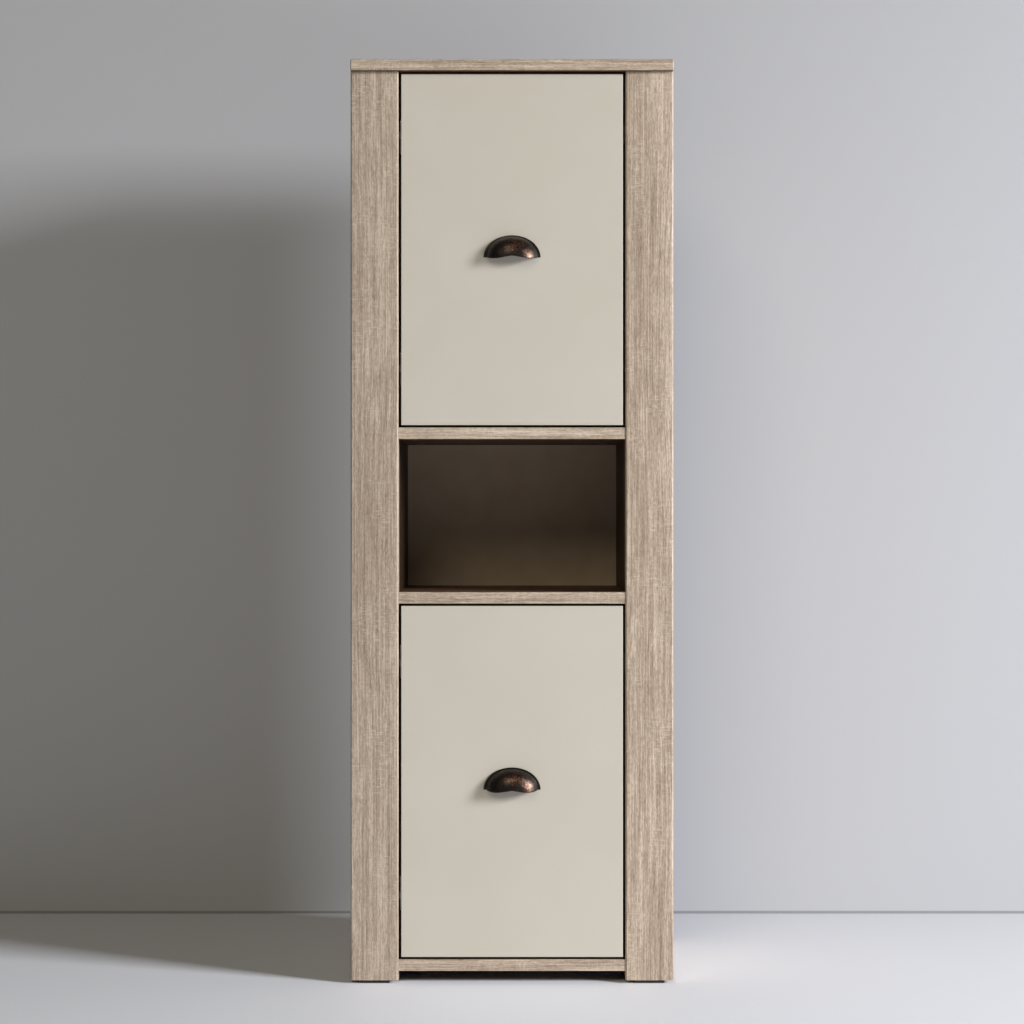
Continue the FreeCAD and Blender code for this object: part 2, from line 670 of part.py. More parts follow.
def mounting_plate(level):
    """Cross-shaped plate on the side panel with a raised block under the arm."""
    wing_half = HEAD_RATIO * PLATE_SCREW_RADIUS + PLATE_RIM
    wing_y = (PLATE_Y - wing_half, PLATE_Y + wing_half)
    wings = block((-OPEN, -OPEN + PLATE_STEEL), wing_y, (level - PLATE_HALF, level + PLATE_HALF))
    corners = [edge for edge in wings.Edges if near(abs(edge.tangentAt(edge.FirstParameter).x), 1)]
    wings = wings.makeFillet(wing_half / 2, corners)
    boss_y = (PLATE_Y - PLATE_BOSS_REACH, PLATE_Y + PLATE_BOSS_REACH)
    boss_z = (level - PLATE_BOSS_HALF, level + PLATE_BOSS_HALF)
    boss = block((-OPEN, WEB_X), boss_y, boss_z)
    holes = [hole(seat, -X, PLATE_SCREW_RADIUS, 0, PLATE_STEEL) for seat in plate_screw_seats(level)]
    for seat in arm_screw_seats(level):
        holes.append(hole(seat, -X, ARM_SCREW_RADIUS, 0, ARM_SCREW_LENGTH))
    return wings.fuse(boss).cut(holes).removeSplitter()


def side_screw_holes():
    """Holes in the left inner side for the screws of the mounting plates."""
    length = PLATE_SCREW_LENGTH - PLATE_STEEL
    holes = []
    for name in COMPARTMENTS:
        for level in hinge_levels(name).values():
            for seat in plate_screw_seats(level):
                mouth = Vector(-OPEN, seat.y, seat.z)
                holes.append(hole(mouth, -X, PLATE_SCREW_RADIUS, 0, length))
    return holes


# Door stops

def stop_level(name):
    return hinge_levels(name)["top"]


def stop_front():
    return DOOR_BACK + STOP_GAP + BUMPER_THICK


def stop_screw_seat(name):
    """Bottom of the counterbore in the stop."""
    x = OPEN - STOP_SIDE + SCREW_HEAD_THICK + END_PLAY
    return Vector(x, stop_front() + STOP_SIDE / 2, stop_level(name))


def door_stop(name):
    """Small block on the right side panel, behind the free edge of the door."""
    half = STOP_LENGTH / 2
    level = stop_level(name)
    y = (stop_front(), stop_front() + STOP_SIDE)
    body = block((OPEN - STOP_SIDE, OPEN), y, (level - half, level + half))
    seat = stop_screw_seat(name)
    head = rod(seat, -X, HEAD_RATIO * WOOD_SCREW_RADIUS + FIT, STOP_SIDE)
    shank = rod(seat, X, WOOD_SCREW_RADIUS + FIT, STOP_SIDE)
    return body.cut([head, shank])


def stop_screw_length():
    return STOP_SIDE - SCREW_HEAD_THICK - END_PLAY + WOOD_SCREW_LENGTH


def stop_screw(name):
    radius = WOOD_SCREW_RADIUS
    return screw(stop_screw_seat(name), X, radius, stop_screw_length(), HEAD_RATIO * radius)


def stop_screw_hole(name):
    seat = stop_screw_seat(name)
    mouth = Vector(OPEN, seat.y, seat.z)
    return hole(mouth, X, WOOD_SCREW_RADIUS, 0, WOOD_SCREW_LENGTH)


def bumper(name):
    """Soft disc on the stop's front face."""
    place = Vector(OPEN - STOP_SIDE / 2, stop_front(), stop_level(name) - STOP_LENGTH / 4)
    disc = rod(place, -Y, BUMPER_RADIUS, BUMPER_THICK)
    return rounded(disc, BUMPER_THICK / 4, lambda c: near(c.y, place.y - BUMPER_THICK))


def carcass():
    """The fixed boards and what joins them."""
    inner = right_inner_side()
    right_holes = [stop_screw_hole(name) for name in COMPARTMENTS]
    nodes = {
        "top_panel": [top_panel()],
        "right_post": [right_post()],
        "left_post": [flipped(right_post())],
        "right_outer_side": [right_outer_side()],
        "left_outer_side": [flipped(right_outer_side())],
        "right_inner_side": [inner.cut(right_holes)],
        "left_inner_side": [flipped(inner).cut(side_screw_holes())],
        "right_rear_stile": [right_rear_stile()],
        "left_rear_stile": [flipped(right_rear_stile())],
        "back_panel": [back_panel()],
        "rear_rail": [rear_rail()],
        "right_front_glide": [glide(front_glide_centre())],
        "left_front_glide": [flipped(glide(front_glide_centre()))],
        "right_rear_glide": [glide(rear_glide_centre())],
        "left_rear_glide": [flipped(glide(rear_glide_centre()))],
    }
    for name, bottom in FIXED_BOARDS.items():
        nodes[name] = [fixed_board(bottom)]
    for name in COMPARTMENTS:
        nodes[name + "_loose_shelf"] = [loose_shelf(name)]
        nodes[name + "_shelf_pegs"] = shelf_pegs(name)
        nodes[name + "_door_stop"] = [door_stop(name)]
    return nodes


def carcass_fasteners():
    shelf_cams = shelf_joint_places(SHELF_CAMS_Y)
    cams = [cam_lock(place, -X, SHELF_CAM_MOUTH) for place in shelf_cams]
    cams += [cam_lock(place, -Z, TOP_CAM_MOUTH) for place in top_bolt_places()]
    shelf_bolts = bolts(shelf_cams, -X) + bolts(top_bolt_places(), -Z)
    post_places = post_dowel_places(OUTER_MID) + post_dowel_places(INNER_MID)
    shelf_places = shelf_joint_places(SHELF_DOWELS_Y) + rail_dowel_places()
    levels = [bottom + BOARD / 2 for bottom in FIXED_BOARDS.values()]
    return {
        "cam_locks": both_sides(cams),
        "cam_bolts": both_sides(shelf_bolts),
        "post_dowels": both_sides(dowels(post_places, Y)),
        "shelf_dowels": both_sides(dowels(shelf_places, -X)),
        "top_dowels": both_sides(dowels(top_dowel_places(), -Z)),
        "back_nails": [nail for level in levels for nail in nails(level, hole=False)],
        "stop_screws": [stop_screw(name) for name in COMPARTMENTS],
        "door_bumpers": [bumper(name) for name in COMPARTMENTS],
    }


def doors_and_hinges():
    nodes = {"plate_screws": [], "arm_screws": []}
    for name in COMPARTMENTS:
        nodes[name + "_door"] = [door(name)]
        nodes[name + "_pull"] = [pull(name)]
        nodes[name + "_pull_screws"] = pull_screws(name)
        cup_screws = []
        for end, level in hinge_levels(name).items():
            prefix = name + "_door_" + end + "_hinge_"
            nodes[prefix + "cup"] = [hinge_cup(level)]
            nodes[prefix + "pin"] = [hinge_pin(level)]
            nodes[prefix + "arm"] = [hinge_arm(level)]
            nodes[prefix + "plate"] = [mounting_plate(level)]
            for seat in cup_screw_seats(level):
                head = HEAD_RATIO * WOOD_SCREW_RADIUS
                cup_screws.append(screw(seat, -Y, WOOD_SCREW_RADIUS, WOOD_SCREW_LENGTH, head))
            for seat in plate_screw_seats(level):
                head = PLATE_HEAD_RATIO * PLATE_SCREW_RADIUS
                nodes["plate_screws"].append(
                    screw(seat, -X, PLATE_SCREW_RADIUS, PLATE_SCREW_LENGTH, head))
            for seat in arm_screw_seats(level):
                head = HEAD_RATIO * ARM_SCREW_RADIUS
                nodes["arm_screws"].append(screw(seat, -X, ARM_SCREW_RADIUS, ARM_SCREW_LENGTH, head))
        nodes[name + "_cup_screws"] = cup_screws
    return nodes


nodes = {}
nodes.update(carcass())
nodes.update(carcass_fasteners())
nodes.update(doors_and_hinges())

os.makedirs("parts", exist_ok=True)
for name, shapes in nodes.items():
    solids = [solid for shape in shapes for solid in shape.Solids]
    if len(solids) != len(shapes) or not all(solid.isValid() for solid in solids):
        raise ValueError(name + " is not made of whole, valid solids")
    whole = solids[0] if len(solids) == 1 else Part.makeCompound(solids)
    whole.exportStep("parts/" + name + ".step")

print(len(nodes), "nodes")
print("hinge axis x, y:", PIN_X, PIN_Y)
print("front corner clears the post by", round(PIN_U - DOOR_SWING, 2))
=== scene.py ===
from math import pi, radians

import bpy
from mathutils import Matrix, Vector


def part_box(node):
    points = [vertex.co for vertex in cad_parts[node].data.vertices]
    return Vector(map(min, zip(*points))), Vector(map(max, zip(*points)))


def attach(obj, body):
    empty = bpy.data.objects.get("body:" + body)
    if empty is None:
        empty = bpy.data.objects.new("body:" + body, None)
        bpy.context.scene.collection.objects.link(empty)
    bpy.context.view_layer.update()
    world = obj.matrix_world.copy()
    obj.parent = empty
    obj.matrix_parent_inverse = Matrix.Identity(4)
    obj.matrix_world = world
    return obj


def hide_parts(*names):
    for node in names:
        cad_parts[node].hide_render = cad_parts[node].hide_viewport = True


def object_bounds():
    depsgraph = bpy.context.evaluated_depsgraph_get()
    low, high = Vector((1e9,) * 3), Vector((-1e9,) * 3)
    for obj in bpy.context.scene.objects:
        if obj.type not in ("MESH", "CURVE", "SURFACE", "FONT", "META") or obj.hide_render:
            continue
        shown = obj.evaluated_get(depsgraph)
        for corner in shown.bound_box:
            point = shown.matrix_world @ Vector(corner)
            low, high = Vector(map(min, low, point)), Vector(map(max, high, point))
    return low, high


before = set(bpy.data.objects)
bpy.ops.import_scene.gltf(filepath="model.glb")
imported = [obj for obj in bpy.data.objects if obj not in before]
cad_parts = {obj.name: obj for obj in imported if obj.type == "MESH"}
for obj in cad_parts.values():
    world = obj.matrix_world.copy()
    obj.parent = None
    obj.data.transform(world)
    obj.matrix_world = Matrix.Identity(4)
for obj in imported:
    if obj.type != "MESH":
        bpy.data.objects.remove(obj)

scene = bpy.context.scene
cad_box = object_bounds()
low, high = cad_box

# Camera. The cabinet is seen straight on from 3.5 m, level with the middle of the niche.
# The focal length makes the 500 mm wide cabinet 323 of the picture's 1024 pixels.
PICTURE_WIDTH = 1024
CABINET_PIXELS = 323
CAMERA_DISTANCE = 3.5
CAMERA_HEIGHT = 0.730
SENSOR_WIDTH = 36.0

post_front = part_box("right_post")[0].y
cabinet_width = high.x - low.x
focal_pixels = CABINET_PIXELS * CAMERA_DISTANCE / cabinet_width
camera_data = bpy.data.cameras.new("camera")
camera_data.sensor_width = SENSOR_WIDTH
camera_data.lens = SENSOR_WIDTH * focal_pixels / PICTURE_WIDTH
camera = bpy.data.objects.new("camera", camera_data)
camera.location = (0, post_front - CAMERA_DISTANCE, CAMERA_HEIGHT)
camera.rotation_euler = (pi / 2, 0, 0)
scene.collection.objects.link(camera)
scene.camera = camera
scene.view_settings.view_transform = "Standard"

# Light. A large softbox with a grid stands to the right and in front, higher than the cabinet, aimed
# at the floor short of it, so that the lower door gets its share. A wider one, far off and high in
# front, opens the shadows.
KEY_PLACE = Vector((6.90, -3.40, 2.75))
KEY_AIM = Vector((3.17, -1.56, 0))
KEY_SIZE = (1.9, 2.1)
KEY_WATTS = 335
KEY_SPREAD = radians(95)
KEY_COLOUR = "#f7faff"
FILL_PLACE = Vector((-1.6, -8.4, 6.2))
FILL_AIM = Vector((-1.2, -6.2, 0))
FILL_SIZE = (4.0, 4.0)
FILL_WATTS = 285
FILL_COLOUR = "#fff7e1"
WORLD_STRENGTH = 0.03
WORLD_COLOUR = "#fff9f2"
ROOM_STRENGTH = 0.14          # what glossy rays see of the room, so that metal does not go black
ROOM_COLOUR = "#f6f7fa"
SEEN_COLOUR = "#c3c4c9"       # what the camera sees past the floor


def linear(code):
    """sRGB hex to the linear colour that a shader takes."""
    parts = [int(code[i:i + 2], 16) / 255 for i in (1, 3, 5)]
    parts = [c / 12.92 if c <= 0.04045 else ((c + 0.055) / 1.055) ** 2.4 for c in parts]
    return (*parts, 1.0)


def put(tree, kind, links=None, **settings):
    """Add one node. Links takes values or other nodes' output sockets, by input name or number."""
    made = tree.nodes.new(kind)
    for name, value in settings.items():
        setattr(made, name, value)
    for name, value in (links or {}).items():
        if isinstance(value, bpy.types.NodeSocket):
            tree.links.new(value, made.inputs[name])
        else:
            made.inputs[name].default_value = value
    return made


def softbox(name, place, aim, size, watts, colour, spread=pi):
    data = bpy.data.lights.new(name, "AREA")
    data.spread = spread
    data.shape = "RECTANGLE"
    data.size, data.size_y = size
    data.energy = watts
    data.color = linear(colour)[:3]
    lamp = bpy.data.objects.new(name, data)
    lamp.location = place
    lamp.rotation_euler = (aim - place).to_track_quat("-Z", "Y").to_euler()
    scene.collection.objects.link(lamp)


softbox("key_softbox", KEY_PLACE, KEY_AIM, KEY_SIZE, KEY_WATTS, KEY_COLOUR, KEY_SPREAD)
softbox("front_fill", FILL_PLACE, FILL_AIM, FILL_SIZE, FILL_WATTS, FILL_COLOUR)

world = bpy.data.worlds.new("studio")
world.use_nodes = True
scene.world = world
sky = world.node_tree
sky.nodes.clear()
rays = put(sky, "ShaderNodeLightPath")
seen = put(sky, "ShaderNodeMath", {0: rays.outputs["Is Camera Ray"],
                                   1: rays.outputs["Is Transmission Ray"]}, operation="MAXIMUM")
dim = put(sky, "ShaderNodeBackground", {"Color": linear(WORLD_COLOUR), "Strength": WORLD_STRENGTH})
room = put(sky, "ShaderNodeBackground", {"Color": linear(ROOM_COLOUR), "Strength": ROOM_STRENGTH})
pale = put(sky, "ShaderNodeBackground", {"Color": linear(SEEN_COLOUR), "Strength": 1.0})
unseen = put(sky, "ShaderNodeMixShader", {0: rays.outputs["Is Glossy Ray"], 1: dim.outputs[0],
                                          2: room.outputs[0]})
either = put(sky, "ShaderNodeMixShader", {0: seen.outputs[0], 1: unseen.outputs[0],
                                          2: pale.outputs[0]})
put(sky, "ShaderNodeOutputWorld", {"Surface": either.outputs[0]})

# Studio floor and backdrop. To the camera the pale floor fades into the room further off, where the
# softbox would turn it white. The matt grey wall behind the cabinet is seen only from its front, and
# only by the camera and in reflections, so it throws no shadow.
BACKDROP_GAP = 0.27
STAGE_HALF = 14.0
BACKDROP_HEIGHT = 9.0
WALL_COLOUR = "#b3b3b6"
JOINT_COLOUR = "#8f8f90"
WALL_JOINT = 0.005            # fine dark line where the wall meets the floor
FLOOR_SHADER = {"Roughness": 0.50, "Specular IOR Level": 0.3}
FLOOR_COLOUR = "#ecedf3"
FADE_START = 1.0              # from the middle of the floor
FADE_END = 2.0


def stage_plane(name, corners, material):
    mesh = bpy.data.meshes.new(name)
    mesh.from_pydata(corners, [], [(0, 1, 2, 3)])
    plane = bpy.data.objects.new(name, mesh)
    mesh.materials.append(material)
    scene.collection.objects.link(plane)


def blank_material(name):
    made = bpy.data.materials.new(name)
    made.use_nodes = True
    made.node_tree.nodes.clear()
    return made, made.node_tree


def mixed(tree, amount, first, second, blend="MIX"):
    """Mix of two colours, which are inputs 6 and 7 and output 2 of a mix node."""
    made = put(tree, "ShaderNodeMix", {0: amount, 6: first, 7: second}, data_type="RGBA",
               blend_type=blend)
    return made.outputs[2]


def partly_clear(tree, amount, first, second):
    """Output of a material that goes from one shader to the other."""
    either = put(tree, "ShaderNodeMixShader", {0: amount, 1: first.outputs[0], 2: second.outputs[0]})
    put(tree, "ShaderNodeOutputMaterial", {"Surface": either.outputs[0]})


floor_paint, tree = blank_material("studio_floor")
rays = put(tree, "ShaderNodeLightPath")
place = put(tree, "ShaderNodeTexCoord")
reach = put(tree, "ShaderNodeVectorMath", {0: place.outputs["Object"]}, operation="LENGTH")
away = put(tree, "ShaderNodeMapRange", {"Value": reach.outputs["Value"], "From Min": FADE_START,
                                        "From Max": FADE_END}, interpolation_type="SMOOTHSTEP")
faded = put(tree, "ShaderNodeMath", {0: away.outputs[0], 1: rays.outputs["Is Camera Ray"]},
            operation="MULTIPLY")
shade = put(tree, "ShaderNodeBsdfPrincipled", {"Base Color": linear(FLOOR_COLOUR), **FLOOR_SHADER})
clear = put(tree, "ShaderNodeBsdfTransparent")
partly_clear(tree, faded.outputs[0], shade, clear)
stage_plane("studio_floor", [(-STAGE_HALF, -STAGE_HALF, 0), (STAGE_HALF, -STAGE_HALF, 0),
                             (STAGE_HALF, STAGE_HALF, 0), (-STAGE_HALF, STAGE_HALF, 0)], floor_paint)

wall_paint, tree = blank_material("studio_backdrop")
rays = put(tree, "ShaderNodeLightPath")
side = put(tree, "ShaderNodeNewGeometry")
front_only = put(tree, "ShaderNodeMath", {0: 1.0, 1: side.outputs["Backfacing"]}, operation="SUBTRACT")
looked_at = put(tree, "ShaderNodeMath", {0: rays.outputs["Is Camera Ray"],
                                         1: rays.outputs["Is Glossy Ray"]}, operation="MAXIMUM")
shown = put(tree, "ShaderNodeMath", {0: looked_at.outputs[0], 1: front_only.outputs[0]},
            operation="MULTIPLY")
place = put(tree, "ShaderNodeTexCoord")
axes = put(tree, "ShaderNodeSeparateXYZ", {0: place.outputs["Object"]})
above_joint = put(tree, "ShaderNodeMath", {0: axes.outputs["Z"], 1: WALL_JOINT}, operation="GREATER_THAN")
paint = mixed(tree, above_joint.outputs[0], linear(JOINT_COLOUR), linear(WALL_COLOUR))
shade = put(tree, "ShaderNodeBsdfDiffuse", {"Color": paint})
clear = put(tree, "ShaderNodeBsdfTransparent")
partly_clear(tree, shown.outputs[0], clear, shade)
wall_y = high.y + BACKDROP_GAP
stage_plane("studio_backdrop", [(-STAGE_HALF, wall_y, 0), (STAGE_HALF, wall_y, 0),
                                (STAGE_HALF, wall_y, BACKDROP_HEIGHT),
                                (-STAGE_HALF, wall_y, BACKDROP_HEIGHT)], wall_paint)

# Oak-decor boards: posts, top, outer sides and rear stiles. Particle board faced with a printed
# melamine paper of greyed, band-sawn oak, pressed with the grain's own relief, edges rounded.
# The parts of the pattern are in millimetres, across the grain and along it.
OAK_COLOURS = ("#837060", "#ab9987", "#cfbeab")
PORE_COLOUR = "#75624f"
SAW_COLOUR = "#dacab8"
BAND = (34.0, 700.0)          # slow change of tone across a board
STREAK = (2.7, 480.0)
FIBRE = (1.6, 36.0)           # real fibres are finer, drawn so that they show
HAIR = (1.3, 6.0)             # short fine lines seen from close by
PORE = (1.6, 14.0)            # real pores are 0.3 mm wide
WAVE = (90.0, 480.0)          # the grain bends this often, and by GRAIN_BEND
GRAIN_BEND = 6.0
SAW_MARK = (13.0, 2.2)        # one tooth mark of the band saw, lying across the grain
SAW_PATCH = (60.0, 90.0)      # the marks come and go in patches
NOISE_RANGE = (0.3, 0.7)      # nearly all of a noise lies in it
GRAIN_SHARES = (0.17, 0.34, 0.25, 0.24)    # of bands, streaks, fibres and hairs in the colour
GRAIN_RANGE = (0.39, 0.61)    # of their sum, from the darkest colour to the lightest
PORE_RANGE = (0.58, 0.68)
PORE_SHADE = 0.4
PATCH_RANGE = (0.48, 0.62)
TOOTH_RANGE = (0.50, 0.68)
SAW_SHADE = 0.36
RELIEF_SHARES = (0.7, 0.3, -0.8, -0.9)     # of fibres, hairs, pores and saw marks in the relief
GRAIN_RELIEF = 0.12           # mm
OAK_BUMP = 0.6
OAK_SHADER = {"Roughness": 0.56, "IOR": 1.5, "Specular IOR Level": 0.42}
TO_MM = (1000, 1000, 1000)


def grain_coordinates(tree, along, offset):
    """Object coordinates in millimetres, turned so that the grain runs along Z, gently bent."""
    place = put(tree, "ShaderNodeTexCoord")
    turn = (0, pi / 2, 0) if along == "X" else (0, 0, 0)
    straight = put(tree, "ShaderNodeMapping", {"Vector": place.outputs["Object"], "Location": offset,
                                               "Rotation": turn, "Scale": TO_MM}).outputs[0]
    wave = stretched(tree, straight, WAVE, Detail=1.0)
    bend = span(tree, wave, *NOISE_RANGE, -GRAIN_BEND / 2, GRAIN_BEND / 2)
    shift = put(tree, "ShaderNodeCombineXYZ", {"X": bend, "Y": bend})
    return put(tree, "ShaderNodeVectorMath", {0: straight, 1: shift.outputs[0]},
               operation="ADD").outputs[0]


def stretched(tree, coordinates, size, **noise):
    """Noise of a real width across the grain and length along it, both in millimetres."""
    width, length = size
    place = put(tree, "ShaderNodeMapping", {"Vector": coordinates,
                                            "Scale": (1 / width, 1 / width, 1 / length)})
    settings = {"Scale": 1.0, "Detail": 3.0, "Roughness": 0.6, "Distortion": 0.0}
    settings.update(noise)
    return put(tree, "ShaderNodeTexNoise", {"Vector": place.outputs[0], **settings}).outputs["Fac"]


def ramp(tree, value, ends, *colours):
    """Hex colours spread evenly between two ends of a value."""
    made = put(tree, "ShaderNodeValToRGB", {0: value})
    points = made.color_ramp.elements
    while len(points) < len(colours):
        points.new(0.5)
    low, high = ends
    for i, (point, colour) in enumerate(zip(points, colours)):
        point.position = low + (high - low) * i / (len(colours) - 1)
        point.color = linear(colour)
    return made.outputs[0]


def span(tree, value, low_in, high_in, low_out, high_out):
    """A value moved from one range to another, held at both ends."""
    made = put(tree, "ShaderNodeMapRange", {"Value": value, "From Min": low_in, "From Max": high_in,
                                            "To Min": low_out, "To Max": high_out})
    return made.outputs[0]


def weighed(tree, values, shares):
    """Sum of values, each with its share."""
    total = 0.0
    for value, share in zip(values, shares):
        total = put(tree, "ShaderNodeMath", {0: value, 1: share, 2: total},
                    operation="MULTIPLY_ADD").outputs[0]
    return total


def toned(tree, colour, tone):
    """The colour made lighter, by a tone above 1, or darker."""
    return mixed(tree, 1.0, colour, (tone, tone, tone, 1), "MULTIPLY")


def oak_colour(tree, along, offset, tone):
    """Colour and relief of the oak print. Tone above 1 is a lighter part of the print."""
    coordinates = grain_coordinates(tree, along, offset)
    bands = stretched(tree, coordinates, BAND, Detail=2.0)
    streaks = stretched(tree, coordinates, STREAK, Detail=3.0)
    fibres = stretched(tree, coordinates, FIBRE, Detail=2.0, Roughness=0.55)
    hairs = stretched(tree, coordinates, HAIR, Detail=2.0)
    pores = stretched(tree, coordinates, PORE, Detail=1.0)
    teeth = stretched(tree, coordinates, SAW_MARK, Detail=1.0)
    patches = stretched(tree, coordinates, SAW_PATCH, Detail=2.0)
    grain = weighed(tree, (bands, streaks, fibres, hairs), GRAIN_SHARES)
    colour = ramp(tree, span(tree, grain, *GRAIN_RANGE, 0, 1), (0, 1), *OAK_COLOURS)
    pore_shade = span(tree, pores, *PORE_RANGE, 0, PORE_SHADE)
    colour = mixed(tree, pore_shade, colour, linear(PORE_COLOUR))
    in_patch = span(tree, patches, *PATCH_RANGE, 0, SAW_SHADE)
    tooth = span(tree, teeth, *TOOTH_RANGE, 0, 1)
    saw_shade = put(tree, "ShaderNodeMath", {0: tooth, 1: in_patch}, operation="MULTIPLY").outputs[0]
    colour = mixed(tree, saw_shade, colour, linear(SAW_COLOUR))
    height = weighed(tree, (fibres, hairs, pore_shade, saw_shade), RELIEF_SHARES)
    return toned(tree, colour, tone), height


def finish_material(tree, colour, height, bump, depth, shader):
    """Relief of a strength and of a depth in mm, the main shader with its other inputs, the output."""
    relief = put(tree, "ShaderNodeBump", {"Height": height, "Strength": bump, "Distance": depth / 1000})
    shade = put(tree, "ShaderNodeBsdfPrincipled", {"Base Color": colour, "Normal": relief.outputs[0],
                                                   **shader})
    put(tree, "ShaderNodeOutputMaterial", {"Surface": shade.outputs[0]})


def oak_decor(name, along, offset, tone):
    """Matt melamine print of sawn oak: soft sheen, deeper in the pores."""
    made, tree = blank_material(name)
    colour, height = oak_colour(tree, along, offset, tone)
    finish_material(tree, colour, height, OAK_BUMP, GRAIN_RELIEF, OAK_SHADER)
    return made


def dress(node, material):
    """Give a CAD node's object one material."""
    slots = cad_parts[node].data.materials
    slots.clear()
    slots.append(material)


# The boards are cut from different parts of the print, so each has its own place in the pattern:
# way of the grain, offset in mm and tone.
OAK_BOARDS = {
    "left_post": ("Z", (31, 0, 120), 0.95),
    "right_post": ("Z", (211, 40, 610), 1.08),
    "left_outer_side": ("Z", (400, 10, 300), 1.0),
    "right_outer_side": ("Z", (500, 70, 900), 1.0),
    "left_rear_stile": ("Z", (610, 20, 40), 0.98),
    "right_rear_stile": ("Z", (700, 30, 80), 0.98),
}
for node, (along, offset, tone) in OAK_BOARDS.items():
    dress(node, oak_decor("oak_decor_" + node, along, offset, tone))

# Inner sides, loose shelves and rear rail. The same board faced in a plain dark brown wood print,
# nearly black in the niche, with a faint straight grain.
DARK_COLOURS = ("#2a1b10", "#483120")
DARK_SHARES = (0.55, 0.45)    # of streaks and fibres
DARK_RANGE = (0.38, 0.62)
DARK_BUMP = 0.4
DARK_SHADER = {"Roughness": 0.5, "IOR": 1.5, "Specular IOR Level": 0.18}


def dark_colour(tree, along, offset, tone):
    """Colour and relief of the dark print. Tone above 1 draws it lighter, below 1 darker."""
    coordinates = grain_coordinates(tree, along, offset)
    streaks = stretched(tree, coordinates, STREAK, Detail=4.0, Roughness=0.65)
    fibres = stretched(tree, coordinates, FIBRE)
    grain = weighed(tree, (streaks, fibres), DARK_SHARES)
    colour = ramp(tree, span(tree, grain, *DARK_RANGE, 0, 1), (0, 1), *DARK_COLOURS)
    return toned(tree, colour, tone), fibres


def dark_decor(name, along, offset, tone):
    """Dark wood print: low sheen, so that the niche reads as deep."""
    made, tree = blank_material(name)
    colour, height = dark_colour(tree, along, offset, tone)
    finish_material(tree, colour, height, DARK_BUMP, GRAIN_RELIEF, DARK_SHADER)
    return made


# Painted shade and light: the two inner sides are one print, drawn darker on the left, which faces the
# softbox, and lighter on the right, which faces away from it.
DARK_BOARDS = {
    "left_inner_side": ("Z", (0, 0, 0), 0.6),
    "right_inner_side": ("Z", (90, 30, 400), 1.3),
    "lower_loose_shelf": ("X", (150, 0, 70), 1.2),
    "upper_loose_shelf": ("X", (260, 0, 300), 1.2),
    "rear_rail": ("X", (300, 50, 10), 1.0),
}
for node, (along, offset, tone) in DARK_BOARDS.items():
    dress(node, dark_decor("dark_decor_" + node, along, offset, tone))

# Fixed shelves, bottom panel and top. The shelves and the bottom are dark boards whose front edge
# wears a 1 mm oak-decor band, so that from the front they match the posts; the top is oak decor,
# with its lower face drawn in the dark print as painted shade, so that the gap over the upper door
# reads dark.
EDGE_BAND = 1.0               # mm
FACE_THICK = 0.5              # mm, more than the printed face and less than the edge's radius
SHELF_PAINTED_LIGHT = 1.9              # painted light: the dark print on these boards and under the top, the niche's ceiling and floor among them, drawn lighter than on the inner sides
FRONT_TONE = 1.0
TOP_TONE = 1.05
FIRST_OFFSET = Vector((45, 15, 170))
NEXT_OFFSET = Vector((130, 0, 90))
TOP_OFFSET = (17, 90, 230)
BANDED_BUMP = 0.5
BANDED_SHADER = {"Roughness": 0.54, "IOR": 1.5, "Specular IOR Level": 0.4}


def banded_board(name, offset, tone, axis, limit, dark_above):
    """Oak print on one side of a plane across Y or Z, dark print on the other."""
    made, tree = blank_material(name)
    oak, height = oak_colour(tree, "X", offset, tone)
    dark = dark_colour(tree, "X", offset, SHELF_PAINTED_LIGHT)[0]
    place = put(tree, "ShaderNodeTexCoord")
    axes = put(tree, "ShaderNodeSeparateXYZ", {0: place.outputs["Object"]})
    inside = put(tree, "ShaderNodeMath", {0: axes.outputs[axis], 1: limit},
                 operation="GREATER_THAN" if dark_above else "LESS_THAN")
    colour = mixed(tree, inside.outputs[0], oak, dark)
    finish_material(tree, colour, height, BANDED_BUMP, GRAIN_RELIEF, BANDED_SHADER)
    return made


for i, node in enumerate(("bottom_panel", "lower_fixed_shelf", "upper_fixed_shelf")):
    offset = FIRST_OFFSET + i * NEXT_OFFSET
    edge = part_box(node)[0].y + EDGE_BAND / 1000
    dress(node, banded_board("banded_board_" + node, offset, FRONT_TONE, "Y", edge, True))
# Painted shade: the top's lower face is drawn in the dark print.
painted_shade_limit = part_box("top_panel")[0].z + FACE_THICK / 1000
top_board_with_painted_shade = banded_board("banded_board_top_panel", TOP_OFFSET, TOP_TONE, "Z", painted_shade_limit, False)
dress("top_panel", top_board_with_painted_shade)

# Back panel. 3 mm hardboard held in grooves of the sides and nailed to the rear edges of the fixed
# boards, painted taupe brown on the face that shows in the niche.
BACK_COLOURS = ("#b09b83", "#b8a48b")
MOTTLES = 0.02                # changes of the noise in a millimetre
SPECKLES = 0.6
BACK_BUMP = 0.3
BACK_RELIEF = 0.1             # mm
BACK_SHADER = {"Roughness": 0.62, "Specular IOR Level": 0.3}


def in_millimetres(tree, origin=(0, 0, 0)):
    """Object coordinates in millimetres, from a place given in metres."""
    place = put(tree, "ShaderNodeTexCoord")
    shift = [-1000 * value for value in origin]
    return put(tree, "ShaderNodeMapping", {"Vector": place.outputs["Object"], "Location": shift,
                                           "Scale": TO_MM}).outputs[0]


def even_noise(tree, coordinates, changes, detail, **settings):
    """Noise that is alike in every direction, with so many changes in a millimetre."""
    return put(tree, "ShaderNodeTexNoise", {"Vector": coordinates, "Scale": changes,
                                            "Detail": detail, **settings}).outputs["Fac"]


hardboard, tree = blank_material("painted_hardboard")
place = in_millimetres(tree)
mottle = even_noise(tree, place, MOTTLES, detail=4.0)
speckle = even_noise(tree, place, SPECKLES, detail=2.0)
colour = ramp(tree, mottle, NOISE_RANGE, *BACK_COLOURS)
finish_material(tree, colour, speckle, BACK_BUMP, BACK_RELIEF, BACK_SHADER)
dress("back_panel", hardboard)

